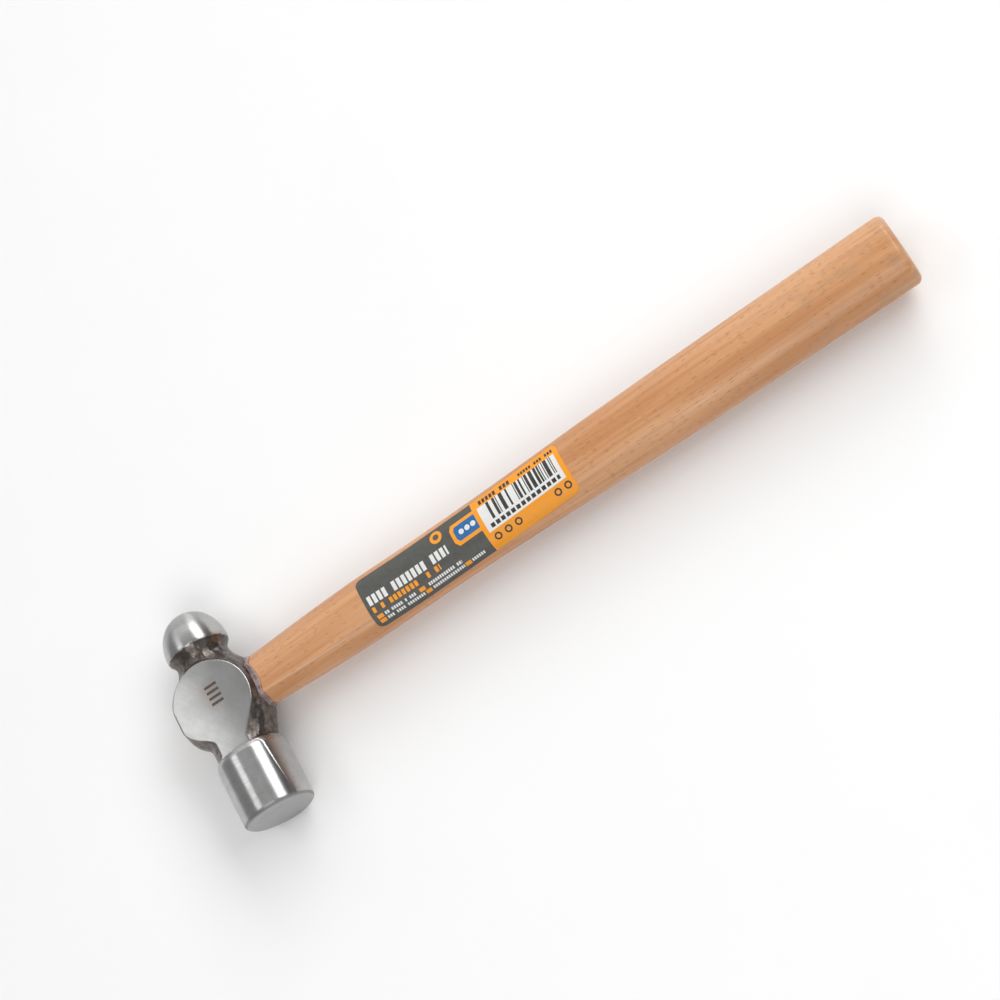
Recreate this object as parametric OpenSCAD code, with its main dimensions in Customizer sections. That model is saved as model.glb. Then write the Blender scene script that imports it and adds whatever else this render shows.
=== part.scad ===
// Ball pein hammer, 8 oz (227 g) head on a beech handle.
//
// It lies on its side. The origin is the centre of the striking face.
// +X runs along the handle from the head to the butt, +Y runs along the head
// from the striking face to the top of the ball pein, and +Z comes out of a cheek.

/* [Head] */
// Length of the head, from the striking face to the top of the ball
head_len = 80; // [79:0.5:84]
// Diameter of the poll, the cylinder that carries the striking face
poll_d = 25.8; // [25:0.1:27]
// Length of the poll as far as the chamfer at its back
poll_len = 22.4; // [21:0.1:23]
// Chamfer round the striking face
face_chamfer = 1.2; // [0.6:0.1:2]
// Diameter of the neck between the poll and the eye
neck_d = 22.8; // [22:0.1:24]
// Diameter of the ball-shaped eye boss before its cheeks are ground flat
boss_d = 35.8; // [35:0.1:37]
// Thickness of the head between its two flat cheeks
cheek_t = 19.6; // [18.5:0.1:20.5]
// Distance between the two mouths of the eye
eye_depth = 30.8; // [30:0.1:32]
// Distance of the handle's centre line from the striking face
eye_y = 43.4; // [43:0.1:44]
// Largest diameter of the ball pein
pein_d = 23; // [22:0.1:24]
// Width of the waist under the ball, across its eight flats
waist_af = 18.2; // [17:0.1:19]

/* [Eye] */
// Width of the eye at each mouth
eye_w = 12.2; // [11.8:0.1:12.8]
// Width of the eye at its middle, where it is narrowest
eye_w_mid = 10.8; // [10.4:0.1:11.4]
// Distance between the two round ends of the eye, centre to centre
eye_ends = 3.6; // [3.2:0.1:4.2]

/* [Handle] */
// Length of the whole hammer along the handle, from the eye's far mouth to the butt
overall_len = 290; // [285:1:300]
// Width of the grip at the butt
grip_w = 26; // [25:0.1:27]
// Thickness of the grip at the butt
grip_t = 20.4; // [19:0.1:21]
// Rounding of the butt's rim
butt_round = 2.6; // [1.5:0.1:3]

/* [Wedges] */
// Thickness of the wooden wedge at its driven end
wood_wedge_t = 2.8; // [2.2:0.1:3.2]
// Depth that the wooden wedge is driven into the eye
wood_wedge_len = 22; // [18:1:24]
// Thickness of the steel wedge at its driven end
steel_wedge_t = 2.2; // [1.8:0.1:2.6]
// Width of the steel wedge, across the wooden one
steel_wedge_w = 9; // [7:0.5:9]
// Depth that the steel wedge is driven into the eye
steel_wedge_len = 15; // [12:1:17]

/* [Label] */
// Length of the label along the handle
label_len = 83; // [70:1:90]
// Distance of the label's near edge from the head's centre line
label_x = 62.5; // [60:0.5:66]
// Thickness of the label
label_t = 0.2; // [0.15:0.05:0.3]

/* [Hidden] */
$fn = 96;
over = 1;                            // how far a cutter reaches past a face
poll_r = poll_d / 2;
neck_r = neck_d / 2;
boss_r = boss_d / 2;
pein_r = pein_d / 2;
mouth_x = eye_depth / 2;
butt_x = overall_len - mouth_x;
arc_steps = 16;                      // points on each arc of the head's profile

// The head's profile, as [distance from the axis, distance from the face]
shoulder_len = 1.9;                  // chamfer between the poll and the neck
neck_fillet = 6;                     // hollow between the neck and the boss
waist_fillet = 4;                    // hollow between the boss and the waist
waist_r = waist_af / 2;
rim_y = head_len - 14.1;             // the ball's widest circle
flange_y = rim_y - 3.2;              // where the waist starts to open out to the ball
ball_flank = 5.0;                    // length of the ball's nearly straight flank
ball_flank_r = pein_r - 0.8;

function arc(cr, cy, r, a0, a1, n = arc_steps) =
    [for (i = [0 : n]) let (a = a0 + (a1 - a0) * i / n) [cr + r * cos(a), cy + r * sin(a)]];

// Angle, seen from the boss's centre, of the hollow that joins it to a shank of radius r
function hollow_angle(r, fillet) = acos((r + fillet) / (boss_r + fillet));
function hollow_dy(r, fillet) = (boss_r + fillet) * sin(hollow_angle(r, fillet));

neck_a = hollow_angle(neck_r, neck_fillet);
waist_a = hollow_angle(waist_r, waist_fillet);
neck_cy = eye_y - hollow_dy(neck_r, neck_fillet);
waist_cy = eye_y + hollow_dy(waist_r, waist_fillet);

poll_profile = [
    [0, 0],
    [poll_r - face_chamfer, 0],
    [poll_r, face_chamfer],
    [poll_r, poll_len],
    [neck_r + 0.5, poll_len + shoulder_len],
    [0, poll_len + shoulder_len],
];

boss_profile = concat(
    [[0, poll_len]],
    [[neck_r, poll_len]],
    arc(neck_r + neck_fillet, neck_cy, neck_fillet, 180, 180 - neck_a),
    arc(0, eye_y, boss_r, -neck_a, waist_a, 2 * arc_steps),
    arc(waist_r + waist_fillet, waist_cy, waist_fillet, 180 + waist_a, 180),
    [[waist_r, waist_cy + over]],
    [[0, waist_cy + over]]
);

// The ball's crown is an arc that starts square with the flank's end and closes on the axis
crown_y = rim_y + ball_flank;
crown_h = head_len - crown_y;
crown_r = (crown_h * crown_h + ball_flank_r * ball_flank_r) / (2 * crown_h);
crown_a = asin(ball_flank_r / crown_r);

pein_profile = concat(
    [[0, flange_y]],
    [[waist_r, flange_y]],
    [[pein_r - 0.4, rim_y - 0.9]],
    [[pein_r, rim_y]],
    arc(0, head_len - crown_r, crown_r, 90 - crown_a, 90)
);

// Spins a profile about the head's axis, which is Y
module spin() {
    rotate([-90, 0, 0])
        rotate_extrude()
            children();
}

// An oval that changes evenly along X: two round ends with flat sides between them
module oval_taper(x0, x1, r0, r1) {
    for (side = [-1, 1])
        translate([x0, eye_y + side * eye_ends / 2, 0])
            rotate([0, 90, 0])
                cylinder(h = x1 - x0, r1 = r0, r2 = r1);
    translate([0, eye_y + eye_ends / 2, 0])
        rotate([90, 0, 0])
            linear_extrude(eye_ends)
                polygon([[x0, -r0], [x1, -r1], [x1, r1], [x0, r0]]);
}

// Radius of the eye's round ends: narrowest in the middle, flaring to both mouths
function eye_r(x) = (eye_w_mid + (eye_w - eye_w_mid) * abs(x) / mouth_x) / 2;

// The eye, or the tang that fills it
module eye_shape(x0, x1) {
    oval_taper(x0, 0, eye_r(x0), eye_r(0));
    oval_taper(0, x1, eye_r(0), eye_r(x1));
}

module eye_boss() {
    intersection() {
        spin()
            polygon(boss_profile);
        translate([-mouth_x, 0, -cheek_t / 2])
            cube([eye_depth, head_len, cheek_t]);
    }
}

module waist() {
    translate([0, waist_cy - over, 0])
        rotate([-90, 22.5, 0])
            cylinder(h = flange_y - waist_cy + 2 * over, r = waist_r / cos(22.5), $fn = 8);
}

module head() {
    color("silver")
        difference() {
            union() {
                spin()
                    polygon(poll_profile);
                eye_boss();
                waist();
                spin()
                    polygon(pein_profile);
            }
            eye_shape(-mouth_x - over, mouth_x + over);
        }
}

// The grip's shape, as [distance along the handle, half width, half thickness]
stations = [
    [mouth_x, eye_w / 2 + 3.2, eye_w / 2 + 0.2],
    [36, 10.1, 7.0],
    [60, 10.85, 7.8],
    [88, 10.7, 8.1],
    [118, 10.95, 8.6],
    [155, 11.95, 9.2],
    [195, 12.5, 9.7],
    [235, grip_w / 2 - 0.2, grip_t / 2 - 0.15],
    [butt_x, grip_w / 2, grip_t / 2],
];
sides = 40;                          // points round the grip's section
ring_step = 8;                       // spacing of the grip's sections
oval_power = 2.3;                    // 2 is an ellipse, and more is squarer
facet_crown = 0.08;                  // how much of the oval's roundness the facets start with
facet_end = 84;                      // the facets near the head have faded out here
corner_w = [0.62, 0.86];             // the octagon's upper and lower corners, as shares of the
                                     // half width, at the head and where the facets fade out
corner_t = 0.34;                     // its side corners, as a share of the half thickness

function station(x) = max([for (i = [0 : len(stations) - 2]) stations[i][0] <= x ? i : 0]);
function slope(i, k) =
    i == 0 || i == len(stations) - 1 ? 0
    : (stations[i + 1][k] - stations[i - 1][k]) / (stations[i + 1][0] - stations[i - 1][0]);

// Smooth curve through the stations: k is 1 for the half width and 2 for the half thickness
function grip_half(x, k) =
    let (i = station(x), d = stations[i + 1][0] - stations[i][0], u = (x - stations[i][0]) / d)
    (1 + 2 * u) * pow(1 - u, 2) * stations[i][k]
    + u * u * (3 - 2 * u) * stations[i + 1][k]
    + d * u * pow(1 - u, 2) * slope(i, k)
    - d * u * u * (1 - u) * slope(i + 1, k);

function signed_pow(v, p) = sign(v) * pow(abs(v), p);
function oval_point(a, b, t) =
    [a * signed_pow(cos(t), 2 / oval_power), b * signed_pow(sin(t), 2 / oval_power)];
function octagon_corner(a, b, w, k) =
    let (t = 22.5 + 45 * k, wide = abs(cos(t)) > abs(sin(t)))
    [a * (wide ? 1 : w) * sign(cos(t)), b * (wide ? corner_t : 1) * sign(sin(t))];
function octagon_point(a, b, w, j) =
    let (per_side = sides / 8, k = floor(j / per_side), u = j / per_side - k)
    octagon_corner(a, b, w, k) * (1 - u) + octagon_corner(a, b, w, k + 1) * u;

// An octagon at the head that turns into the oval of the grip
function faded(x) = min(1, max(0, (x - mouth_x) / (facet_end - mouth_x)));
function oval_share(x) =
    let (u = faded(x)) facet_crown + (1 - facet_crown) * u * u * (3 - 2 * u);
function section_point(x, j, grow) =
    let (a = grip_half(x, 1) + grow, b = grip_half(x, 2) + grow, share = oval_share(x),
         w = corner_w[0] + (corner_w[1] - corner_w[0]) * faded(x))
    octagon_point(a, b, w, j) * (1 - share) + oval_point(a, b, 22.5 + 360 * j / sides) * share;
function grip_point(x, j, grow = 0) =
    let (p = section_point(x, j, grow)) [x, eye_y + p[0], p[1]];
function grip_ring(x, grow = 0) = [for (j = [0 : sides - 1]) grip_point(x, j, grow)];

// Skins a row of rings that all have the same number of points. A loop of rings closes on
// itself, and any other row gets a flat face at both ends
module skin(rings, loop = false) {
    n = len(rings[0]);
    total = len(rings) * n;
    walls = [for (i = [0 : len(rings) - (loop ? 1 : 2)], j = [0 : n - 1])
        let (a = i * n + j, b = i * n + (j + 1) % n, a_next = (a + n) % total, b_next = (b + n) % total)
        each [[a, a_next, b_next], [a, b_next, b]]];
    near_end = [for (j = [0 : n - 1]) j];
    far_end = [for (j = [n - 1 : -1 : 0]) total - n + j];
    ends = loop ? [] : [near_end, far_end];
    polyhedron([for (ring = rings) each ring], concat(walls, ends), convexity = 4);
}

butt_steps = 4;                      // sections on the rounding of the butt's rim
body_end = butt_x - butt_round;
ring_count = ceil((body_end - mouth_x) / ring_step);
function ring_x(i) = mouth_x + (body_end - mouth_x) * i / ring_count;

module grip() {
    body = [for (i = [0 : ring_count]) grip_ring(ring_x(i))];
    butt = [for (i = [1 : butt_steps])
        let (t = 90 * i / butt_steps)
        grip_ring(body_end + butt_round * sin(t), butt_round * (cos(t) - 1))];
    skin(concat(body, butt));
}

module handle() {
    color("burlywood")
        difference() {
            union() {
                eye_shape(-mouth_x, mouth_x + over);
                grip();
            }
            wood_wedge_blank();
            steel_wedge_blank();
        }
}

wedge_tip = 0.3;                     // half thickness of a wedge at its thin edge

// The wooden wedge lies along the eye's long axis and spreads the tang to both cheeks
module wood_wedge_blank() {
    slope_t = (wood_wedge_t / 2 - wedge_tip) / wood_wedge_len;
    x0 = -mouth_x - over;
    x1 = wood_wedge_len - mouth_x;
    half = wood_wedge_t / 2 + over * slope_t;
    translate([0, eye_y + eye_w, 0])
        rotate([90, 0, 0])
            linear_extrude(2 * eye_w)
                polygon([[x0, -half], [x1, -wedge_tip], [x1, wedge_tip], [x0, half]]);
}

module wood_wedge() {
    color("tan")
        difference() {
            intersection() {
                wood_wedge_blank();
                eye_shape(-mouth_x, mouth_x);
            }
            steel_wedge_blank();
        }
}

barbs = 3;                           // teeth along each side of the steel wedge
barb_depth = 0.25;

// One side of the steel wedge, from the driven end to the tip, with its teeth
function wedge_side(side) =
    [for (i = [0 : barbs], tooth = [0, 1])
        let (u = min(1, (i + tooth * 0.8) / (barbs + 0.8)),
             half = steel_wedge_t / 2 * (1 - u) + wedge_tip * u)
        [steel_wedge_len * u - mouth_x, side * (half - tooth * barb_depth * (1 - u))]];

// The steel wedge stands across the wooden one
module steel_wedge_blank() {
    near_side = wedge_side(-1);
    far_side = wedge_side(1);
    translate([0, eye_y, -steel_wedge_w / 2])
        linear_extrude(steel_wedge_w)
            polygon(concat(near_side, [for (i = [len(far_side) - 1 : -1 : 0]) far_side[i]]));
}

module steel_wedge() {
    color("gray")
        steel_wedge_blank();
}

// A point on the grip's own flat faces, which run straight from ring to ring
function face_point(x, j, grow) =
    let (i = floor((x - mouth_x) * ring_count / (body_end - mouth_x)),
         u = (x - ring_x(i)) / (ring_x(i + 1) - ring_x(i)))
    grip_point(ring_x(i), j, grow) * (1 - u) + grip_point(ring_x(i + 1), j, grow) * u;

bead_rise = 0.8;                     // how far the bead spreads over the boss
bead_crest = [0.8, 0.4];             // its crest, ahead of the mouth and out from the handle
bead_front = 1.7;                    // how far it runs along the handle
bead_gap = 0.03;                     // keeps its flat facets out of the round boss

// Where a line along the handle meets the boss, which is a ball cut off at the mouth
function boss_x(p) =
    min(mouth_x, bead_gap + sqrt(boss_r * boss_r - pow(p[1] - eye_y, 2) - p[2] * p[2]));
function on_boss(p) = [boss_x(p), p[1], p[2]];
function bead_section(j) = [
    on_boss(grip_point(mouth_x, j)),
    face_point(mouth_x + bead_front, j, 0),
    face_point(mouth_x + bead_crest[0], j, bead_crest[1]),
    on_boss(grip_point(mouth_x, j, bead_rise)),
];

// Adhesive squeezed out of the eye, set in the corner between the boss and the handle
module adhesive_bead() {
    color("thistle")
        skin([for (j = [0 : sides - 1]) bead_section(j)], loop = true);
}

label_from = 3;                      // the label's edges, as points of the grip's section
label_to = 14;
label_end = label_x + label_len;

function label_ring(x) = concat(
    [for (j = [label_from : label_to]) face_point(x, j, label_t)],
    [for (j = [label_to : -1 : label_from]) face_point(x, j, 0)]
);

// One printed label, wrapped over the upper side of the handle
module label() {
    inner = [for (i = [1 : ring_count - 1]) if (ring_x(i) > label_x && ring_x(i) < label_end) ring_x(i)];
    color("orange")
        skin([for (x = concat([label_x], inner, [label_end])) label_ring(x)]);
}

head();
handle();
wood_wedge();
steel_wedge();
adhesive_bead();
label();
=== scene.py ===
"""Looks of the ball pein hammer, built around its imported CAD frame.

The hammer lies on its side: +X runs along the handle to the butt, +Y runs along the head from the
striking face to the top of the ball, and +Z comes out of the upper cheek. Shapes are worked out in
millimetres and turned into metres when a mesh is made.
"""

import math

import bpy
import numpy as np
import openvdb
from mathutils import Matrix, Vector


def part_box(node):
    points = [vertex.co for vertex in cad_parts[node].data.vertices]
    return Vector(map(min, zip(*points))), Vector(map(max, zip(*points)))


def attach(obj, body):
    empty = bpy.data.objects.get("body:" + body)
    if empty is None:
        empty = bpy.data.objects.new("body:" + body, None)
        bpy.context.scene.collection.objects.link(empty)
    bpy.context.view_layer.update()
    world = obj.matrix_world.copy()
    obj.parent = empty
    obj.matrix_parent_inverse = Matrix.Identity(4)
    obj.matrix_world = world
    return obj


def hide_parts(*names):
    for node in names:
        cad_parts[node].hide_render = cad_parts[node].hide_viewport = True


MM = 0.001
BODY = "root"

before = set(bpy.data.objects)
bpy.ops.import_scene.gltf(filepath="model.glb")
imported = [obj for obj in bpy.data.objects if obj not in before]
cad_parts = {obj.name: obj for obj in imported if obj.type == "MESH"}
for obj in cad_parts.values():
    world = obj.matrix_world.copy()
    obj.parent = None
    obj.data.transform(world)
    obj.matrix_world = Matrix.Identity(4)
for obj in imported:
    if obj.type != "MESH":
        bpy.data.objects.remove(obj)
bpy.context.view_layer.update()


def box_mm(node):
    low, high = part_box(node)
    return np.array(low) / MM, np.array(high) / MM


# ---------------------------------------------------------------- sizes, in millimetres

head_low, head_high = box_mm("head")
handle_low, handle_high = box_mm("handle")
label_low, label_high = box_mm("label")

HEAD_LEN = head_high[1]
POLL_R = head_high[2]
MOUTH_X = head_high[0]
BUTT_X = handle_high[0]
GRIP_A = (handle_high[1] - handle_low[1]) / 2
GRIP_B = (handle_high[2] - handle_low[2]) / 2
EYE_Y = (handle_high[1] + handle_low[1]) / 2
LABEL_X = label_low[0]
LABEL_LEN = label_high[0] - label_low[0]

FACE_CHAMFER = 1.2
FACE_CROWN = 420.0                   # the striking face's radius
POLL_LEN = 22.4
SHOULDER_LEN = 1.9
POLL_END = POLL_LEN + SHOULDER_LEN
NECK_R = 11.25
NECK_SQUASH = (1.0, 1.06)            # how much flatter than round, away from the handle and towards it
BOSS_R = 17.9
BOSS_X = -0.7                        # the boss sits a little away from the handle
BOSS_SQUASH = (1.05, 1.12)           # the same for the boss, which is a flattened ball
BOSS_LEAN = 0.44                     # how much narrower the boss is where it runs down to the neck
CHEEK_Z = 9.8                        # half the head's thickness at the cheeks' crown
CHEEK_CROWN = (170.0, 300.0)         # the ground cheeks' radii, across and along the head
CROWN_Y = 38.0                       # the crown's distance from the striking face
CHEEK_POLISH = (260.0, 500.0)        # radii by which buffing curves only the cheeks' shine
WAIST_R = 9.1
WAIST_SQUASH = 1.12                  # the waist is flatter than it is wide
PEIN_R = 11.5
PEIN_POWER = 2.2                     # 2 for an ellipse, and more for a blunter ball
RIM_Y = HEAD_LEN - 14.1
EYE_ENDS = 3.6
EYE_W = 12.2
EYE_W_MID = 10.8
BUTT_ROUND = 2.6
LABEL_WIDTH = 19.7


# ---------------------------------------------------------------- number helpers


def smooth(t):
    return t * t * (3 - 2 * t)


def ease(value, start, end):
    """0 where value is at start or before it, and 1 at end or past it."""
    return smooth(np.clip((value - start) / (end - start), 0, 1))


def between(start_and_end, share):
    return start_and_end[0] + (start_and_end[1] - start_and_end[0]) * share


def lattice_noise(x, y, z, cell, seed):
    """Smooth noise from -1 to 1 with features of about cell millimetres."""
    n = 64
    table = np.random.default_rng(seed).uniform(-1.0, 1.0, (n, n, n))
    places = [x / cell, y / cell, z / cell]
    whole = [np.floor(p).astype(int) for p in places]
    eased = [smooth(p - w) for p, w in zip(places, whole)]
    out = 0.0
    for dx in (0, 1):
        for dy in (0, 1):
            for dz in (0, 1):
                share = eased[0] if dx else 1 - eased[0]
                share = share * (eased[1] if dy else 1 - eased[1])
                share = share * (eased[2] if dz else 1 - eased[2])
                corner = table[(whole[0] + dx) % n, (whole[1] + dy) % n, (whole[2] + dz) % n]
                out = out + share * corner
    return out


# ---------------------------------------------------------------- mesh helpers


def mesh_object(name, co_mm, faces, sharp_angle=None):
    """A smooth-shaded mesh object, from points in millimetres."""
    mesh = bpy.data.meshes.new(name)
    mesh.from_pydata((np.asarray(co_mm) * MM).tolist(), [], [list(f) for f in faces])
    mesh.validate()
    mesh.update()
    mesh.shade_smooth()
    if sharp_angle:
        mesh.set_sharp_from_angle(angle=math.radians(sharp_angle))
    piece = bpy.data.objects.new(name, mesh)
    bpy.context.scene.collection.objects.link(piece)
    return piece


def finish_piece(piece, node, material):
    """Gives a piece its material, and puts it in the place of the CAD node."""
    piece.data.materials.clear()
    piece.data.materials.append(material)
    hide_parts(node)
    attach(piece, BODY)


def ring_quads(rows, columns, loop_rows=False):
    """Quads over rows of points. Each row closes on itself."""
    faces = []
    for i in range(rows if loop_rows else rows - 1):
        for j in range(columns):
            a = i * columns + j
            b = i * columns + (j + 1) % columns
            c = (i + 1) % rows * columns + (j + 1) % columns
            d = (i + 1) % rows * columns + j
            faces.append((a, b, c, d))
    return faces


# ---------------------------------------------------------------- head: a distance field

HEAD_VOXEL = 0.36
SETTLE_STEPS = 3
FILLET_NECK = (2.0, 6.0)             # away from the handle, and under it
FILLET_WAIST = (0.9, 4.0)            # towards the cheeks, and towards the sides
FILLET_POLL = 1.3                    # against the forged skin
FILLET_RIM = 0.3                     # against the ground cheeks
FILLET_BALL = 0.8
EDGE = 0.28                          # how round the poll's edges are
OCTAGON_EDGE = 0.5
CHEEK_EDGE = 0.22
SIDE_EDGE = 0.8                      # where the boss is cut off at the eye's two mouths
EYE_EDGE = 0.25
EYE_GAP = 0.12                       # how far the eye's wall lies outside the CAD's
FORGED_LOW = 0.04                    # how far the ball's forged part lies below its ground part


def union_round(a, b, r):
    u = np.maximum(r - a, 0.0)
    v = np.maximum(r - b, 0.0)
    return np.maximum(r, np.minimum(a, b)) - np.sqrt(u * u + v * v)


def cut_round(a, b, r):
    u = np.maximum(r + a, 0.0)
    v = np.maximum(r + b, 0.0)
    return np.minimum(-r, np.maximum(a, b)) + np.sqrt(u * u + v * v)


def poll_field(r, y):
    wall = r - POLL_R
    face = -y + r * r / (2 * FACE_CROWN)
    chamfer = (r - (POLL_R - FACE_CHAMFER) - y) / math.sqrt(2)
    drop = POLL_R - (NECK_R + 0.5)
    shoulder = ((r - POLL_R) * SHOULDER_LEN + (y - POLL_LEN) * drop) / math.hypot(SHOULDER_LEN, drop)
    d = cut_round(wall, chamfer, EDGE)
    d = cut_round(d, face, EDGE)
    d = cut_round(d, shoulder, EDGE)
    return cut_round(d, y - POLL_END, EDGE)


def waist_field(x, y, z):
    d = None
    for k in range(8):
        a = math.radians(45 * k)
        flat = x * math.cos(a) + z * WAIST_SQUASH * math.sin(a) - WAIST_R
        d = flat if d is None else cut_round(d, flat, OCTAGON_EDGE)
    return np.maximum(d, np.maximum(EYE_Y - y, y - RIM_Y))


def ball_field(r, y):
    height = HEAD_LEN - RIM_Y
    t = np.clip((y - RIM_Y) / height, 0.0, None)
    crown = (r / PEIN_R) ** 2 + t**PEIN_POWER - 1
    slope_r = 2 * r / PEIN_R**2
    slope_y = PEIN_POWER * t ** (PEIN_POWER - 1) / height
    crown = crown / np.sqrt(slope_r**2 + slope_y**2 + 1e-4)
    flange = (r - PEIN_R + 0.2) * 0.8 - (y - RIM_Y + 0.7) * 0.6
    return cut_round(crown, flange, 0.5)


def eye_radius(x):
    return (EYE_W_MID + (EYE_W - EYE_W_MID) * np.abs(x) / MOUTH_X) / 2


def eye_field(x, y, z):
    along = np.maximum(np.abs(y - EYE_Y) - EYE_ENDS / 2, 0.0)
    return np.sqrt(along * along + z * z) - eye_radius(x)


def forged_share(y, z):
    """How far a point is from the ground faces: 0 on them and 1 well away."""
    from_poll = y - (POLL_END + 0.4)
    from_ball = (RIM_Y - 1.0) - y
    from_cheek = (CHEEK_Z - 0.6) - np.abs(z)
    near = np.minimum(np.minimum(from_poll, from_ball), np.where(y > 60, 9.0, from_cheek))
    return ease(near, 0.0, 1.6)


def forging_dents(x, y, z, body):
    """Hammer scale and dents on the forged skin, worked out only near the surface."""
    dents = np.zeros_like(body)
    near = np.abs(body) < 1.0
    at = x[near], y[near], z[near]
    dents[near] = 0.12 * lattice_noise(*at, 4.2, 3) + 0.035 * lattice_noise(*at, 1.5, 4) + 0.06
    return forged_share(y, z) * dents


def squash(x, away_and_towards):
    """How much flatter than round the forging is, away from the handle and towards it."""
    return between(away_and_towards, ease(x, 0, 6))


def boss_field(x, y, z):
    lean = 1 + BOSS_LEAN * (1 - ease(x, -6, 4)) * (y < EYE_Y)
    across = (x - BOSS_X) ** 2 + lean * (y - EYE_Y) ** 2
    return np.sqrt(across + (squash(x, BOSS_SQUASH) * z) ** 2) - BOSS_R


def neck_field(x, y, z):
    wall = np.sqrt(x * x + (squash(x, NECK_SQUASH) * z) ** 2) - NECK_R
    return np.maximum(wall, np.maximum(POLL_LEN - y, y - EYE_Y))


def crown_drop(x, y):
    return (x - BOSS_X) ** 2 / (2 * CHEEK_CROWN[0]) + (y - CROWN_Y) ** 2 / (2 * CHEEK_CROWN[1])


def cheek_field(x, y, z):
    return np.abs(z) - CHEEK_Z + crown_drop(x, y)


def head_field(x, y, z):
    r = np.sqrt(x * x + z * z)
    under_handle = ease(x, -3, 9) * (1 - 0.7 * ease(np.abs(z), 4, 9))
    body = union_round(neck_field(x, y, z), boss_field(x, y, z), between(FILLET_NECK, under_handle))
    sideways = x * x / (r * r + 1e-6)
    body = union_round(body, waist_field(x, y, z), between(FILLET_WAIST, sideways))
    poll = poll_field(r, y)
    body = union_round(body, poll, FILLET_POLL)
    body = body + forging_dents(x, y, z, body)
    body = cut_round(body, cheek_field(x, y, z), CHEEK_EDGE)
    body = cut_round(body, np.abs(x) - MOUTH_X, SIDE_EDGE)
    body = union_round(body, poll, FILLET_RIM)
    ball = ball_field(r, y) + FORGED_LOW * forged_share(y, z)
    body = union_round(body, ball, FILLET_BALL)
    return cut_round(body, EYE_GAP - eye_field(x, y, z), EYE_EDGE)


def field_gradient(co, h=0.02):
    x, y, z = co.T
    gx = head_field(x + h, y, z) - head_field(x - h, y, z)
    gy = head_field(x, y + h, z) - head_field(x, y - h, z)
    gz = head_field(x, y, z + h) - head_field(x, y, z - h)
    return np.stack([gx, gy, gz], 1) / (2 * h)


def sample_head_field():
    """The field on a grid, and where the grid's first point is."""
    margin = 3 * HEAD_VOXEL
    axes = [np.arange(lo - margin, hi + margin, HEAD_VOXEL) for lo, hi in zip(head_low, head_high)]
    grid = np.empty([len(a) for a in axes], np.float32)
    y, z = np.meshgrid(axes[1], axes[2], indexing="ij")
    for i, x in enumerate(axes[0]):
        grid[i] = head_field(np.full_like(y, x), y, z)
    return grid, np.array([a[0] for a in axes])


def settled(co):
    """The points moved onto the surface where the field is 0, and kept in the head's box."""
    for _ in range(SETTLE_STEPS):
        slope = field_gradient(co)
        steep = np.maximum((slope * slope).sum(1), 0.2)
        co = co - slope * (head_field(*co.T) / steep)[:, None]
    return np.clip(co, head_low, head_high)


def shading_normals(co):
    """The surface's normals, turned a little outwards on the polished cheeks."""
    normals = field_gradient(co)
    on_cheek = cheek_field(*co.T) > -0.02
    normals[:, 0] += on_cheek * (co[:, 0] - BOSS_X) / CHEEK_POLISH[0]
    normals[:, 1] += on_cheek * (co[:, 1] - CROWN_Y) / CHEEK_POLISH[1]
    return normals / np.linalg.norm(normals, axis=1)[:, None]


def build_head():
    grid, first = sample_head_field()
    volume = openvdb.FloatGrid(background=1.0)
    volume.copyFromArray(grid)
    points, quads = volume.convertToQuads(0.0)
    co = settled(points * HEAD_VOXEL + first)
    head = mesh_object("hammer_head", co, quads)
    head.data.normals_split_custom_set_from_vertices(shading_normals(co).tolist())
    return head


# ---------------------------------------------------------------- handle

# Distance along the handle, half width and half thickness
STATIONS = np.array([
    (MOUTH_X, EYE_W / 2 + 3.2, EYE_W / 2 + 0.2),
    (36, 10.1, 7.0),
    (60, 10.85, 7.8),
    (88, 10.7, 8.1),
    (118, 10.95, 8.6),
    (155, 11.95, 9.2),
    (195, 12.5, 9.7),
    (235, GRIP_A - 0.2, GRIP_B - 0.15),
    (BUTT_X, GRIP_A, GRIP_B),
])
OVAL_POWER = 2.3                     # 2 for an ellipse, and more for a fuller oval
FACET_CROWN = 0.08                   # how far the facets at the head are from flat to oval
FACET_END = 84                       # the facets have faded out here
CORNER_W = (0.62, 0.86)              # the flats' share of the width, at the head and at FACET_END
CORNER_T = 0.34                      # and of the thickness
SECTION_TURN = 40                    # the section's points are counted from 0 to this
RING_POINTS = 160
CORNER_SOFT = 2                      # points on each side that soften the octagon's corners
TANG_GAP = 0.15                      # between the tang and the eye's wall
TANG_RECESS = 0.3                    # how deep the tang's end lies in the far mouth
TANG_RINGS = 24
GRIP_RINGS = 170
HANDLE_SHARP = 40                    # edges sharper than this many degrees stay sharp
LABEL_SHARP = 50
BUTT_DOME = 0.2                      # how far the butt's end face bulges


def grip_half(x):
    """Half width and half thickness at each x, on a smooth curve through the stations."""
    at = STATIONS[:, 0]
    i = np.clip(np.searchsorted(at, x, side="right") - 1, 0, len(at) - 2)
    slope = np.zeros((len(at), 2))
    slope[1:-1] = (STATIONS[2:, 1:] - STATIONS[:-2, 1:]) / (at[2:] - at[:-2])[:, None]
    d = (at[i + 1] - at[i])[:, None]
    u = ((x - at[i]) / (at[i + 1] - at[i]))[:, None]
    start, end = STATIONS[i, 1:], STATIONS[i + 1, 1:]
    curve = (1 + 2 * u) * (1 - u) ** 2 * start + u * u * (3 - 2 * u) * end
    return curve + d * u * (1 - u) ** 2 * slope[i] - d * u * u * (1 - u) * slope[i + 1]


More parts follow.
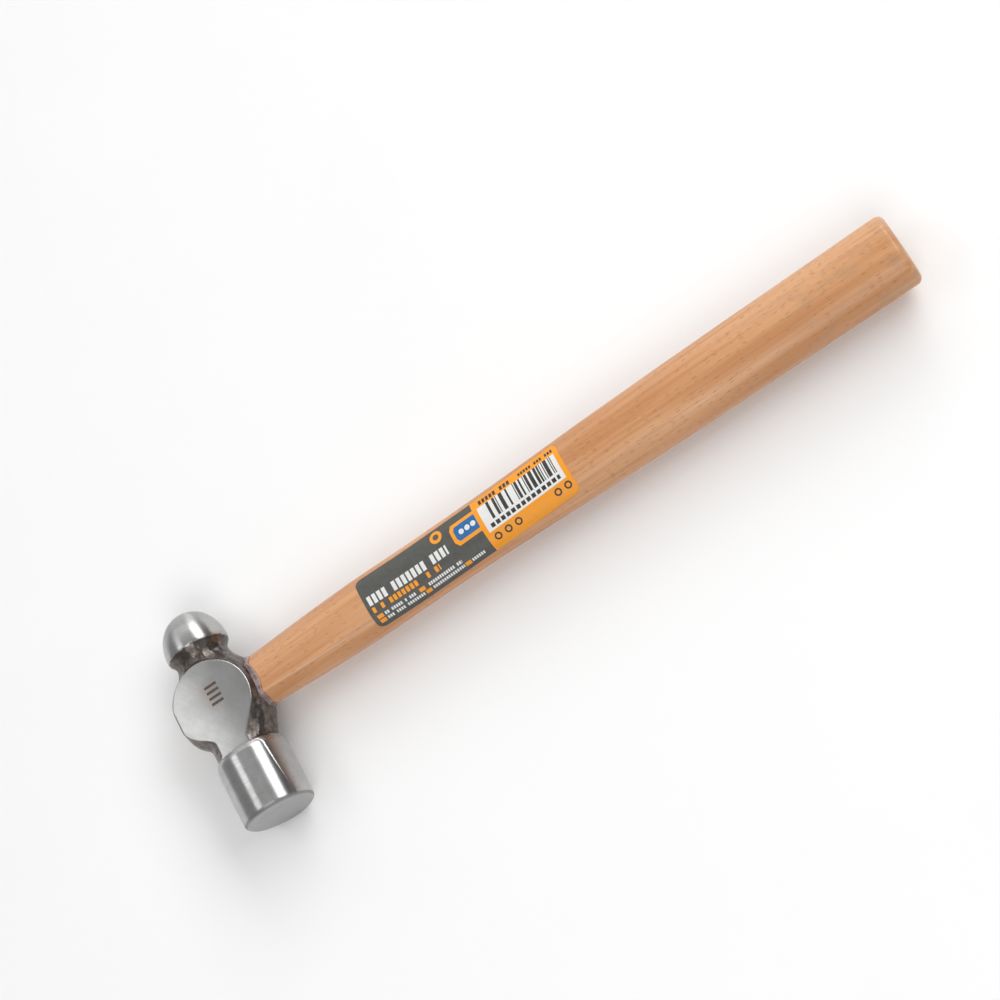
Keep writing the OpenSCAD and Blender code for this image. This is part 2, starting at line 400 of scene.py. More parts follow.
def octagon(a, b, w, s):
    """Points of an octagon with its corners softened a little. s counts round the section."""
    def corner(k):
        t = np.radians(22.5 + 45 * k)
        wide = np.abs(np.cos(t)) > np.abs(np.sin(t))
        across = a * np.where(wide, 1, w) * np.sign(np.cos(t))
        return across, b * np.where(wide, CORNER_T, 1) * np.sign(np.sin(t))

    def side(at):
        k = np.floor(at * 8 / SECTION_TURN)
        u = at * 8 / SECTION_TURN - k
        near, far = corner(k), corner(k + 1)
        return np.stack([near[0] * (1 - u) + far[0] * u, near[1] * (1 - u) + far[1] * u])

    step = SECTION_TURN / RING_POINTS
    offsets = range(-CORNER_SOFT, CORNER_SOFT + 1)
    weights = [CORNER_SOFT + 1 - abs(k) for k in offsets]
    return sum(side(s + k * step) * w for k, w in zip(offsets, weights)) / sum(weights)


def section_point(x, s, grow=0.0):
    """Points of the grip: x and s are arrays of one shape, and grow moves them outwards."""
    halves = grip_half(x)
    a, b = halves[:, 0] + grow, halves[:, 1] + grow
    faded = np.clip((x - MOUTH_X) / (FACET_END - MOUTH_X), 0, 1)
    share = between((FACET_CROWN, 1), smooth(faded))
    w = between(CORNER_W, faded)
    t = np.radians(22.5 + 360 * s / SECTION_TURN)
    power = 2 / OVAL_POWER
    oval = np.stack([
        a * np.sign(np.cos(t)) * np.abs(np.cos(t)) ** power,
        b * np.sign(np.sin(t)) * np.abs(np.sin(t)) ** power,
    ])
    flat = octagon(a, b, w, s) * (1 - share) + oval * share
    return np.stack([x, EYE_Y + flat[0], flat[1]], 1)


def grip_ring(x, grow=0.0):
    s = np.arange(RING_POINTS) * SECTION_TURN / RING_POINTS
    return section_point(np.full(RING_POINTS, float(x)), s, grow)


def tang_ring(x, scale=1.0):
    t = np.radians(22.5 + 360 * np.arange(RING_POINTS) / RING_POINTS)
    r = eye_radius(x) - TANG_GAP
    y = np.sign(np.cos(t)) * EYE_ENDS / 2 + r * np.cos(t)
    return np.stack([np.full_like(t, x), EYE_Y + y * scale, r * np.sin(t) * scale], 1)


def handle_rings():
    top = TANG_RECESS - MOUTH_X
    rings = [tang_ring(top, k) for k in (0.15, 0.5, 0.8, 0.97)]
    rings += [tang_ring(x) for x in np.linspace(top + 0.2, MOUTH_X - 0.4, TANG_RINGS)]
    body_end = BUTT_X - BUTT_ROUND
    rim_end = BUTT_X - BUTT_DOME
    rings += [grip_ring(x) for x in np.linspace(MOUTH_X, body_end, GRIP_RINGS)]
    for turn in np.radians(np.arange(10, 91, 10)):
        x = rim_end + BUTT_ROUND * (math.sin(turn) - 1)
        rings.append(grip_ring(x, BUTT_ROUND * (math.cos(turn) - 1)))
    rim = rings[-1]
    for inward in (0.93, 0.8, 0.6, 0.35, 0.12):
        ring = rim.copy()
        ring[:, 1] = EYE_Y + (rim[:, 1] - EYE_Y) * inward
        ring[:, 2] = rim[:, 2] * inward
        ring[:, 0] = BUTT_X - BUTT_DOME * inward**2
        rings.append(ring)
    return rings


def cut_with(piece, nodes):
    """Cuts the shape of CAD nodes out of a piece, and keeps the result as its mesh."""
    for node in nodes:
        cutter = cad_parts[node]
        cut = piece.modifiers.new("cut_" + node, "BOOLEAN")
        cut.operation = "DIFFERENCE"
        cut.solver = "EXACT"
        cut.object = cutter
    bpy.context.view_layer.update()
    done = bpy.data.meshes.new_from_object(piece.evaluated_get(bpy.context.evaluated_depsgraph_get()))
    piece.modifiers.clear()
    piece.data = done


def build_handle():
    rings = handle_rings()
    faces = ring_quads(len(rings), RING_POINTS)
    faces.append(range(RING_POINTS - 1, -1, -1))
    faces.append(range((len(rings) - 1) * RING_POINTS, len(rings) * RING_POINTS))
    handle = mesh_object("beech_handle", np.concatenate(rings), faces)
    cut_with(handle, ["wood_wedge", "steel_wedge"])
    handle.data.shade_smooth()
    handle.data.set_sharp_from_angle(angle=math.radians(HANDLE_SHARP))
    return handle


# ---------------------------------------------------------------- label

LABEL_FROM = (3.05, 2.43)            # its upper edge at both ends, as points of the section
LABEL_SPAN = 13.5                    # a stretch of the section longer than the label is wide
LABEL_COLUMNS = 41
LABEL_CORNER = 2.5
LABEL_LIFT = (0.02, 0.16)            # its under side and its printed side, above the wood


def label_rows():
    """Distances along the label, closer together on its rounded corners."""
    turn = np.radians(np.arange(0, 91, 15))
    corner = LABEL_CORNER * (1 - np.cos(turn))
    middle = np.linspace(LABEL_CORNER, LABEL_LEN - LABEL_CORNER, 79)[1:-1]
    return np.concatenate([corner, middle, (LABEL_LEN - corner)[::-1]])


def label_across(u, columns):
    """Distances across the label at u, from one rounded edge to the other."""
    from_end = min(u, LABEL_LEN - u, LABEL_CORNER)
    inset = LABEL_CORNER - math.sqrt(LABEL_CORNER**2 - (LABEL_CORNER - from_end) ** 2)
    return np.linspace(inset, LABEL_WIDTH - inset, columns)


def label_sheet(lift, columns):
    """Points of one side of the label, and the place on the print of each."""
    places, prints = [], []
    for u in label_rows():
        start = np.interp(u, (0, LABEL_LEN), LABEL_FROM)
        s = np.linspace(start, start + LABEL_SPAN, 400)
        line = section_point(np.full(len(s), LABEL_X + u), s, lift)
        length = np.concatenate([[0], np.cumsum(np.linalg.norm(np.diff(line, axis=0), axis=1))])
        v = label_across(u, columns)
        places.append(np.stack([np.interp(v, length, line[:, k]) for k in range(3)], 1))
        prints.append(np.stack([np.full(columns, u), v, np.zeros(columns)], 1))
    return np.concatenate(places), np.concatenate(prints)


def build_label():
    columns = LABEL_COLUMNS
    under, printed = label_sheet(LABEL_LIFT[0], columns)
    over, _ = label_sheet(LABEL_LIFT[1], columns)
    rows = len(over) // columns
    count = rows * columns
    faces = []
    for i in range(rows - 1):
        for j in range(columns - 1):
            a = i * columns + j
            quad = (a, a + columns, a + columns + 1, a + 1)
            faces.append(quad)
            faces.append(tuple(count + k for k in reversed(quad)))
    edge = list(range(columns))
    edge += [i * columns + columns - 1 for i in range(1, rows)]
    edge += [(rows - 1) * columns + j for j in range(columns - 2, -1, -1)]
    edge += [i * columns for i in range(rows - 2, 0, -1)]
    for a, b in zip(edge, edge[1:] + edge[:1]):
        faces.append((a, b, count + b, count + a))
    label = mesh_object("printed_label", np.concatenate([over, under]), faces, LABEL_SHARP)
    place = label.data.attributes.new("print_mm", "FLOAT_VECTOR", "POINT")
    place.data.foreach_set("vector", np.concatenate([printed, printed]).ravel())
    return label


# ---------------------------------------------------------------- adhesive bead


BEAD_POINTS = 240                    # round the handle
BEAD_SIDES = 14                      # round the bead's own section
BEAD_WIDE = (1.35, 0.45)             # half its width along the handle, and how much that varies
BEAD_TALL = (0.45, 0.15)             # the same away from the wood
BEAD_OFF = (0.35, 0.12)              # its middle from the boss and from the wood


def boss_edge(y, z):
    """Where a line along the handle meets the boss, which is cut off at the mouth."""
    inside = np.maximum(BOSS_R**2 - (y - EYE_Y) ** 2 - (BOSS_SQUASH[1] * z) ** 2, 0)
    return np.minimum(MOUTH_X, BOSS_X + np.sqrt(inside))


def build_bead():
    """A lumpy bead in the corner between the boss and the handle."""
    s = np.arange(BEAD_POINTS) * SECTION_TURN / BEAD_POINTS
    x = np.full(BEAD_POINTS, MOUTH_X)
    inner = section_point(x, s, 0.0)
    outward = section_point(x, s, 1.0) - inner
    outward /= np.linalg.norm(outward, axis=1)[:, None]
    centre = inner + outward * BEAD_OFF[1]
    centre[:, 0] = boss_edge(centre[:, 1], centre[:, 2]) + BEAD_OFF[0]
    lumps = lattice_noise(*inner.T, 3.6, 11) + 0.35 * lattice_noise(*inner.T, 1.5, 12)
    wide = BEAD_WIDE[0] + BEAD_WIDE[1] * np.clip(lumps, -1, 0.8)
    tall = BEAD_TALL[0] + BEAD_TALL[1] * np.clip(lattice_noise(*inner.T, 2.6, 13), -1, 0.8)
    rings = []
    for turn in np.radians(np.arange(BEAD_SIDES) * 360 / BEAD_SIDES):
        ring = centre + outward * (tall * math.sin(turn))[:, None]
        ring[:, 0] += wide * math.cos(turn)
        rings.append(ring)
    co = np.concatenate(rings)
    co = co + 0.03 * lattice_noise(*co.T, 1.2, 14)[:, None]
    return mesh_object("adhesive_ring", co, ring_quads(BEAD_SIDES, BEAD_POINTS, loop_rows=True))


# ---------------------------------------------------------------- material helpers


class Shade:
    """A material with short calls for the nodes that are used here. Lengths are in millimetres."""

    def __init__(self, name):
        self.material = bpy.data.materials.new(name)
        self.material.use_nodes = True
        self.tree = self.material.node_tree
        self.shader = self.tree.nodes["Principled BSDF"]

    def put(self, socket, value):
        if isinstance(value, bpy.types.NodeSocket):
            self.tree.links.new(value, socket)
        elif value is not None:
            socket.default_value = value

    def node(self, kind, inputs, **settings):
        made = self.tree.nodes.new("ShaderNode" + kind)
        for name, value in settings.items():
            setattr(made, name, value)
        for name, value in inputs.items():
            self.put(made.inputs[name], value)
        return made

    def math(self, operation, a, b=None, c=None):
        return self.node("Math", {0: a, 1: b, 2: c}, operation=operation).outputs[0]

    def place(self, x=1.0, y=1.0, z=1.0, turn=0.0):
        """The place on the object in millimetres, stretched by a factor along each axis."""
        source = self.node("TexCoord", {}).outputs["Object"]
        scaled = self.node("VectorMath", {0: source, 1: (1 / MM,) * 3}, operation="MULTIPLY").outputs[0]
        inputs = {"Vector": scaled, "Angle": turn}
        turned = self.node("VectorRotate", inputs, rotation_type="Z_AXIS").outputs[0]
        return self.node("VectorMath", {0: turned, 1: (x, y, z)}, operation="MULTIPLY").outputs[0]

    def axes(self, vector=None):
        return self.node("SeparateXYZ", {0: vector or self.place()}).outputs

    def noise(self, vector, scale=1.0, detail=3.0, rough=0.5):
        inputs = {"Vector": vector, "Scale": scale, "Detail": detail, "Roughness": rough}
        return self.node("TexNoise", inputs).outputs["Fac"]

    def chance(self, cell, share):
        """0 for about the given share of the cells, drawn at random, and 1 for the others."""
        drawn = self.node("TexWhiteNoise", {"W": cell}, noise_dimensions="1D").outputs["Value"]
        return self.math("GREATER_THAN", drawn, share)

    def fade(self, value, zero_at, one_at, low=0.0, high=1.0, smooth=True):
        """low where value is at zero_at or before it, and high at one_at or past it."""
        inputs = {"Value": value, "From Min": zero_at, "From Max": one_at, "To Min": low, "To Max": high}
        kind = "SMOOTHSTEP" if smooth else "LINEAR"
        return self.node("MapRange", inputs, interpolation_type=kind, clamp=True).outputs["Result"]

    def blend(self, share, a, b, mode="MIX"):
        made = self.node("Mix", {0: share, 6: a, 7: b}, data_type="RGBA", blend_type=mode)
        return made.outputs[2]

    def level(self, share, a, b):
        """A number that goes from a to b with share."""
        return self.node("Mix", {0: share, 2: a, 3: b}, data_type="FLOAT").outputs[0]

    def both(self, *shares):
        out = shares[0]
        for share in shares[1:]:
            out = self.math("MULTIPLY", out, share)
        return out

    def either(self, *shares):
        out = shares[0]
        for share in shares[1:]:
            out = self.math("MAXIMUM", out, share)
        return out

    def within(self, value, low, high):
        """1 between low and high, and 0 elsewhere."""
        return self.math("COMPARE", value, (low + high) / 2, (high - low) / 2)

    def bump(self, height, distance, strength=1.0, below=None):
        inputs = {"Height": height, "Distance": distance * MM, "Strength": strength, "Normal": below}
        return self.node("Bump", inputs).outputs[0]

    def set(self, **values):
        for name, value in values.items():
            self.put(self.shader.inputs[name.replace("_", " ")], value)
        return self.material


def grey(value, warm=0.0):
    return (value * (1 + warm), value, value * (1 - warm), 1.0)


# ---------------------------------------------------------------- steel

MARK_STROKES = 4
MARK_Y = 42.4                        # the first stroke's middle
MARK_PITCH = 2.15
MARK_HALF = 0.5                      # half a stroke's width
MARK_X = (-0.9, 3.9)                 # the strokes' two ends
SKIN_DARK = (0.095, 0.075, 0.066, 1)
SKIN_PALE = (0.185, 0.165, 0.152, 1)
SKIN_PIT = (0.08, 0.060, 0.052, 1)
STAIN = (0.36, 0.25, 0.15, 1)
ETCHED = (0.055, 0.028, 0.016, 1)
CHEEK_GRAIN = (0.9, 0.37, 0.0)       # the cheeks' shine is narrow this way and drawn out across it
FACE_GRAIN = (0.8, 0.0, 0.6)         # the same for the striking face's


def ground_lines(s, turn, across):
    """Fine straight grinding lines, as noise that is long one way and short the other."""
    return s.noise(s.place(*across, turn=turn), 1.0, 4, 0.7)


def upper_cheek(s, z):
    return s.fade(z, CHEEK_Z - 1.4, CHEEK_Z - 1.2)


def etched_bars(s, x, y, z):
    """Plain strokes etched on the upper cheek, where such a head has its weight mark."""
    middles = [MARK_Y + MARK_PITCH * k for k in range(MARK_STROKES)]
    strokes = s.either(*[s.within(y, at - MARK_HALF, at + MARK_HALF) for at in middles])
    return s.both(strokes, s.within(x, *MARK_X), upper_cheek(s, z))


def stain_share(s, x, y, z, cloudy):
    """The soft brown bloom round the etched strokes."""
    along = s.both(s.fade(y, 38.5, 44.0), s.fade(y, 52.5, 47.5))
    across = s.both(s.fade(x, 5.0, -0.5), s.fade(x, -5.0, -1.0))
    return s.both(along, across, upper_cheek(s, z), s.fade(cloudy, 0.35, 0.7, 0.15, 0.6))


def crown_drop_nodes(s, x, y):
    """The same drop of the crowned cheeks as in the head's field."""
    across = s.math("SUBTRACT", x, BOSS_X)
    along = s.math("SUBTRACT", y, CROWN_Y)
    across = s.math("DIVIDE", s.both(across, across), 2 * CHEEK_CROWN[0])
    along = s.math("DIVIDE", s.both(along, along), 2 * CHEEK_CROWN[1])
    return s.math("ADD", across, along)


def ground_shares(s, x, y, z):
    """1 on the ground faces and 0 on the forged skin, first for all of them, then for the cheeks."""
    high = s.math("ADD", s.math("ABSOLUTE", z), crown_drop_nodes(s, x, y))
    ragged = s.fade(s.noise(s.place(0.7, 0.7, 0.7)), 0.3, 0.7, -0.25, 0.25, smooth=False)
    ragged_y = s.math("ADD", y, ragged)
    poll = s.fade(ragged_y, POLL_END + 0.2, POLL_END - 0.2)
    ball = s.fade(ragged_y, RIM_Y - 0.9, RIM_Y - 0.6)
    cheek = s.both(s.fade(high, CHEEK_Z - 0.26, CHEEK_Z - 0.08), s.within(y, POLL_END - 0.2, 61))
    return s.either(poll, ball, cheek), cheek


def ground_colour(s, face, chamfer, lines, cloudy):
    colour = s.blend(s.fade(cloudy, 0.35, 0.65), grey(0.45, 0.008), grey(0.52, 0.004))
    colour = s.blend(s.fade(lines, 0.35, 0.75, 0.0, 0.30), colour, grey(0.36, 0.015))
    colour = s.blend(s.both(face, 0.6), colour, grey(0.50))
    # painted shade: the chamfer round the striking face is made a darker grey
    return s.blend(s.both(chamfer, 0.7), colour, grey(0.30, 0.01))


def forged_colour(s, scale):
    pits = s.noise(s.place(), 1.8, 4, 0.6)
    colour = s.blend(s.fade(scale, 0.32, 0.70), SKIN_DARK, SKIN_PALE)
    return s.blend(s.fade(pits, 0.55, 0.80, 0.0, 0.45), colour, SKIN_PIT)


def head_roughness(s, ground, cheek, dull, lines, scale):
    shiny = s.level(cheek, 0.31, 0.33)
    shiny = s.level(dull, shiny, 0.50)
    shiny = s.math("ADD", shiny, s.fade(lines, 0.3, 0.7, -0.04, 0.06))
    return s.level(ground, s.fade(scale, 0.35, 0.65, 0.36, 0.27), shiny)


def head_bumps(s, ground, face, lines, scale):
    """Soft dents in the forged skin, and fine lines all over, deepest on the striking face."""
    lumps = s.noise(s.place(), 0.22, 2, 0.4)
    dented = s.bump(s.math("ADD", lumps, s.both(scale, 0.15)), 1.6, s.level(ground, 0.42, 0.0))
    return s.bump(lines, 0.02, s.level(face, 0.22, 0.5), dented)


def head_grain(s, cheek, face):
    """The way that the grinding lines give the shine: round the head, except on the flat faces."""
    around = s.node("Tangent", {}, direction_type="RADIAL", axis="Y").outputs[0]
    grain = s.node("Mix", {0: cheek, 4: around, 5: CHEEK_GRAIN}, data_type="VECTOR").outputs[1]
    return s.node("Mix", {0: face, 4: grain, 5: FACE_GRAIN}, data_type="VECTOR").outputs[1]


def head_steel():
    s = Shade("ground_and_forged_steel")
    x, y, z = s.axes()
    ground, cheek = ground_shares(s, x, y, z)
    face = s.fade(y, 0.75, 0.45)
    chamfer = s.within(y, 0.45, FACE_CHAMFER + 0.1)
    bars = etched_bars(s, x, y, z)

    turned = ground_lines(s, 0.0, (0.12, 4.0, 0.12))
    brushed = ground_lines(s, 0.93, (0.05, 2.6, 1.0))
    lines = s.level(cheek, turned, brushed)
    cloudy = s.noise(s.place(0.12, 0.12, 0.12), 1.0, 4, 0.6)
    scale = s.noise(s.place(), 0.42, 4, 0.55)
    ink = s.fade(s.noise(s.place(), 3.5, 3), 0.35, 0.6, 0.80, 1.0)

    bright = ground_colour(s, face, chamfer, lines, cloudy)
    colour = s.blend(ground, forged_colour(s, scale), bright)
    colour = s.blend(stain_share(s, x, y, z, cloudy), colour, STAIN)
    colour = s.blend(s.both(bars, ink), colour, ETCHED)
    rough = head_roughness(s, ground, cheek, s.either(face, chamfer), lines, scale)
    metal = s.level(ground, 0.88, 1.0)
    return s.set(
        Base_Color=colour,
        Metallic=s.level(bars, metal, 0.0),
        Roughness=s.level(bars, rough, 0.62),
        Normal=head_bumps(s, ground, face, lines, scale),
        Tangent=head_grain(s, cheek, face),
        Anisotropic=0.88,
        Anisotropic_Rotation=0.25,
    )


def wedge_steel():
    s = Shade("driven_wedge_steel")
    cloudy = s.noise(s.place(), 0.8, 4, 0.6)
    marks = s.noise(s.place(0.3, 3.0, 0.8), 1.0, 4, 0.6)
    colour = s.blend(s.fade(cloudy, 0.35, 0.65), grey(0.16, 0.05), grey(0.38, 0.02))
    return s.set(
        Base_Color=colour,
        Metallic=0.95,
        Roughness=s.fade(marks, 0.3, 0.7, 0.3, 0.5),
        Normal=s.bump(marks, 0.05, 0.5),
    )


# ---------------------------------------------------------------- wood

RIDGE_SLANT = (0.87, 0.0036)         # the ridge's y for each mm of z, and how that grows along X
HANDLED = (205, 262)                 # hands have soiled the grip more and more between these
# the paler lacquer colour of the painted highlight along the grip's ridge
RIDGE_HIGHLIGHT = (0.82, 0.55, 0.40, 1)
SOILED = (0.33, 0.24, 0.16, 1)
END_GRAIN = (0.36, 0.20, 0.10, 1)


def ridge_highlight_share(s, x, y, z):
    """A painted highlight along the grip's upper ridge near the head, as a paler lacquer colour."""
    lean = s.math("MULTIPLY_ADD", x, RIDGE_SLANT[1], RIDGE_SLANT[0])
    beside = s.math("SUBTRACT", s.math("SUBTRACT", EYE_Y, y), s.both(z, lean))
    line = s.fade(s.math("ABSOLUTE", beside), 0.75, 0.1, 0.0, 0.42)
    # breaks the painted highlight into patches
    patchy_glint = s.fade(s.noise(s.place(0.15, 0.5, 0.5), 1.0, 4), 0.30, 0.60, 0.25, 1.0)
    return s.both(line, patchy_glint, s.fade(x, 82, 45), s.fade(z, 3, 4))


def fleck_share(s):
    """Short streaks along X, crowded in some places and rare in others."""
    cells = s.node("TexVoronoi", {"Vector": s.place(0.30, 3.0, 3.0), "Scale": 1.0, "Randomness": 1.0})
    crowding = s.fade(s.noise(s.place(0.03, 0.2, 0.2), 1.0, 2), 0.35, 0.65, 0.0, 0.16)
    lot = s.math("ADD", s.axes(cells.outputs["Color"])[0], crowding)
    return s.both(s.fade(cells.outputs["Distance"], 0.36, 0.16), s.fade(lot, 0.72, 0.90))


def beech(name, tone=1.0, lacquer=0.15):
    """Steamed beech: straight grain along X, with the short dark flecks of its rays."""
    s = Shade(name)
    x, y, z = s.axes()
    broad = s.noise(s.place(0.010, 0.16, 0.10), 1.0, 3, 0.5)
    bands = s.noise(s.place(0.016, 0.75, 0.45), 1.0, 3, 0.55)
    fibres = s.noise(s.place(0.06, 3.5, 3.5), 1.0, 4, 0.6)

    def toned(r, g, b):
        return (r * tone, g * tone, b * tone, 1)

    colour = s.blend(s.fade(broad, 0.34, 0.66), toned(0.70, 0.372, 0.185), toned(0.57, 0.262, 0.108))
    colour = s.blend(s.fade(bands, 0.45, 0.72, 0.0, 0.50), colour, toned(0.47, 0.185, 0.070))
    colour = s.blend(s.fade(fibres, 0.35, 0.7, 0.0, 0.30), colour, toned(0.50, 0.26, 0.13))

    fleck = fleck_share(s)
    colour = s.blend(s.both(fleck, 0.74), colour, toned(0.30, 0.090, 0.030))
    # painted highlight: a paler line along the grip's upper ridge
    colour = s.blend(ridge_highlight_share(s, x, y, z), colour, RIDGE_HIGHLIGHT)
    patchy = s.noise(s.place(0.09, 0.22, 0.22), 1.0, 4)
    handled = s.both(s.fade(x, *HANDLED), s.fade(patchy, 0.50, 0.70))
    colour = s.blend(s.both(handled, 0.38), colour, SOILED)
    end = s.fade(x, BUTT_X - 2.4, BUTT_X - 0.4)
    colour = s.blend(s.both(end, 0.30), colour, END_GRAIN)
    runs = s.noise(s.place(0.05, 0.25, 0.25), 1.0, 4, 0.6)
    grain = s.bump(s.math("SUBTRACT", fibres, s.both(fleck, 0.5)), 0.05, 0.35)
    return s.set(
        Base_Color=colour,
        Roughness=s.fade(runs, 0.35, 0.65, 0.34, 0.50),
        Normal=grain,
        Coat_Weight=lacquer,
        Coat_Roughness=0.25,
        IOR=1.42,
    )


# ---------------------------------------------------------------- adhesive


def adhesive():
    s = Shade("set_adhesive")
    cloudy = s.noise(s.place(), 0.30, 3, 0.5)
    colour = s.blend(s.fade(cloudy, 0.35, 0.65), (0.12, 0.082, 0.078, 1), (0.32, 0.235, 0.225, 1))
    return s.set(
        Base_Color=colour,
        Roughness=s.fade(cloudy, 0.3, 0.7, 0.16, 0.32),
        Normal=s.bump(s.noise(s.place(), 1.4, 3), 0.12, 0.6),
        Subsurface_Weight=0.25,
        Subsurface_Scale=0.001,
        Coat_Weight=0.4,
        Coat_Roughness=0.12,
    )


# ---------------------------------------------------------------- print on the label

PANEL_SPLIT = 47.8                   # the dark panel ends here, and the orange one begins
CHARCOAL = (0.085, 0.085, 0.077, 1)
ORANGE = (0.93, 0.345, 0.014, 1)
WHITE = (0.80, 0.80, 0.78, 1)
BLACK = (0.035, 0.033, 0.030, 1)
BLUE = (0.016, 0.145, 0.38, 1)

# Rows of plain blocks: from and to along the label, from and to across it, the blocks' pitch
WHITE_ROWS = [(1.5, 34.2, 7.7, 11.1, 2.0), (4.6, 17.2, 15.1, 16.2, 0.9), (21.6, 36.2, 15.1, 16.2, 0.9),
              (4.6, 19.6, 16.9, 18.0, 0.9), (23.2, 36.2, 16.9, 18.0, 0.9), (39.4, 44.8, 16.9, 18.0, 0.9)]
ORANGE_ROWS = [(1.5, 29.2, 11.9, 13.9, 1.7)]
ORANGE_CHIPS = [(1.6, 3.9, 15.0, 16.4), (18.6, 20.9, 15.0, 16.4), (1.6, 3.9, 16.8, 18.2),
                (20.2, 22.5, 16.8, 18.2), (36.6, 38.9, 16.8, 18.2)]
BLACK_ROWS = [(49.4, 63.6, 1.3, 3.1, 1.45), (67.2, 81.2, 1.6, 2.9, 1.1)]
DOTS = [(51.4, 15.8), (55.6, 15.8), (59.8, 15.8), (76.2, 15.8), (80.3, 15.8)]
DOT_RADII = (1.35, 0.75)             # black, and the orange middle
EMBLEM = (32.6, 3.4)                 # a plain ring's middle
EMBLEM_RADII = (2.3, 1.1)
CODE_BLOCK = (49.5, 81.2, 3.75, 13.4)
CODE_BARS = (52.6, 79.6, 3.75, 10.2)
BAR_WIDTH = 0.34
CODE_ROW = (51.2, 79.6, 11.1, 12.6, 2.1)
BADGE = (37.6, 3.2, 11.2)            # its point, and its two long edges
BADGE_RIM = 1.3
BADGE_DOTS = [(41.4, 7.2), (43.8, 7.2), (46.2, 7.2)]
BADGE_DOT_RADIUS = 0.95


def patch(s, u, v, spot):
    return s.both(s.within(u, spot[0], spot[1]), s.within(v, spot[2], spot[3]))


def block_row(s, u, v, row, seed):
    """A row of plain upright blocks with gaps, and a wider gap here and there."""
    at = s.math("DIVIDE", s.math("SUBTRACT", u, row[0]), row[4])
    cell = s.math("ADD", s.math("FLOOR", at), seed)
    drawn = s.chance(cell, 0.14)
    block = s.math("LESS_THAN", s.math("FRACT", at), 0.70)
    return s.both(patch(s, u, v, row), drawn, block)


def badge(s, u, v, inset):
    """A plate with a blunt point towards the head."""
    middle = (BADGE[1] + BADGE[2]) / 2
    half = (BADGE[2] - BADGE[1]) / 2 - inset
    off = s.math("ABSOLUTE", s.math("SUBTRACT", v, middle))
    along = s.math("SUBTRACT", u, BADGE[0] + inset)
    slanted = s.math("ADD", s.math("SUBTRACT", along, s.math("MULTIPLY", off, 0.6)), 0.6 * half * 0.55)
    inside = s.both(s.math("LESS_THAN", off, half), s.math("GREATER_THAN", slanted, 0.0))
    return s.both(inside, s.math("GREATER_THAN", along, 0.0), s.math("LESS_THAN", u, PANEL_SPLIT))


def disc(s, u, v, centre, radius):
    du = s.math("SUBTRACT", u, centre[0])
    dv = s.math("SUBTRACT", v, centre[1])
    return s.math("LESS_THAN", s.math("ADD", s.both(du, du), s.both(dv, dv)), radius * radius)


def barcode(s, u, v):
    """Upright bars of uneven width, which hold no number."""
    cell = s.math("FLOOR", s.math("DIVIDE", u, BAR_WIDTH))
    return s.both(patch(s, u, v, CODE_BARS), s.chance(cell, 0.52))


def label_film():
    s = Shade("printed_label_film")
    place = s.node("Attribute", {}, attribute_name="print_mm").outputs["Vector"]
    u, v, _ = s.axes(place)
    colour = s.blend(s.math("GREATER_THAN", u, PANEL_SPLIT), CHARCOAL, ORANGE)
    shapes = [(block_row(s, u, v, row, 10 * k), WHITE) for k, row in enumerate(WHITE_ROWS)]
    shapes += [(block_row(s, u, v, row, 100 + 10 * k), ORANGE) for k, row in enumerate(ORANGE_ROWS)]
    shapes += [(patch(s, u, v, spot), ORANGE) for spot in ORANGE_CHIPS]
    shapes += [(disc(s, u, v, EMBLEM, EMBLEM_RADII[0]), ORANGE)]
    shapes += [(disc(s, u, v, EMBLEM, EMBLEM_RADII[1]), CHARCOAL)]
    shapes += [(badge(s, u, v, 0.0), ORANGE), (badge(s, u, v, BADGE_RIM), BLUE)]
    shapes += [(disc(s, u, v, dot, BADGE_DOT_RADIUS), WHITE) for dot in BADGE_DOTS]
    shapes += [(patch(s, u, v, CODE_BLOCK), WHITE), (barcode(s, u, v), BLACK)]
    shapes += [(block_row(s, u, v, CODE_ROW, 200), BLACK)]
    shapes += [(block_row(s, u, v, row, 300 + 10 * k), BLACK) for k, row in enumerate(BLACK_ROWS)]
    shapes += [(disc(s, u, v, dot, DOT_RADII[0]), BLACK) for dot in DOTS]
    shapes += [(disc(s, u, v, dot, DOT_RADII[1]), ORANGE) for dot in DOTS]
    for shape, ink in shapes:
        colour = s.blend(shape, colour, ink)
    mottle = s.noise(s.place(), 0.5, 4, 0.6)
    colour = s.blend(s.fade(mottle, 0.3, 0.7, 0.0, 0.10), colour, grey(0.25))
    creases = s.noise(s.place(0.12, 0.12, 0.12), 1.0, 3)
    return s.set(
        Base_Color=colour,
        Roughness=s.fade(mottle, 0.3, 0.7, 0.38, 0.50),
        Normal=s.bump(creases, 0.25, 0.3),
        IOR=1.38,
    )


# ---------------------------------------------------------------- camera, floor and light

AIM = Vector((118.8, 49.1, 0)) * MM
CAMERA_DISTANCE = 0.8075             # from AIM, in metres
CAMERA_TURN = (-61.34, 66.44, 60.81)  # azimuth, elevation and roll in degrees
LENS = 87.1
FLOOR_HALF = 0.8                     # half the floor's side, in metres


def make_camera():
    data = bpy.data.cameras.new("camera")
    data.lens = LENS
    camera = bpy.data.objects.new("camera", data)
    bpy.context.scene.collection.objects.link(camera)
    turn, rise, roll = (math.radians(a) for a in CAMERA_TURN)
    back = Vector((math.cos(rise) * math.cos(turn), math.cos(rise) * math.sin(turn), math.sin(rise)))
    level = Vector((0, 0, 1)).cross(back).normalized()
    right = level * math.cos(roll) - back.cross(level) * math.sin(roll)
    up = back.cross(right)
    axes = Matrix((right, up, back)).transposed().to_4x4()
    camera.matrix_world = Matrix.Translation(AIM + back * CAMERA_DISTANCE) @ axes
    bpy.context.scene.camera = camera


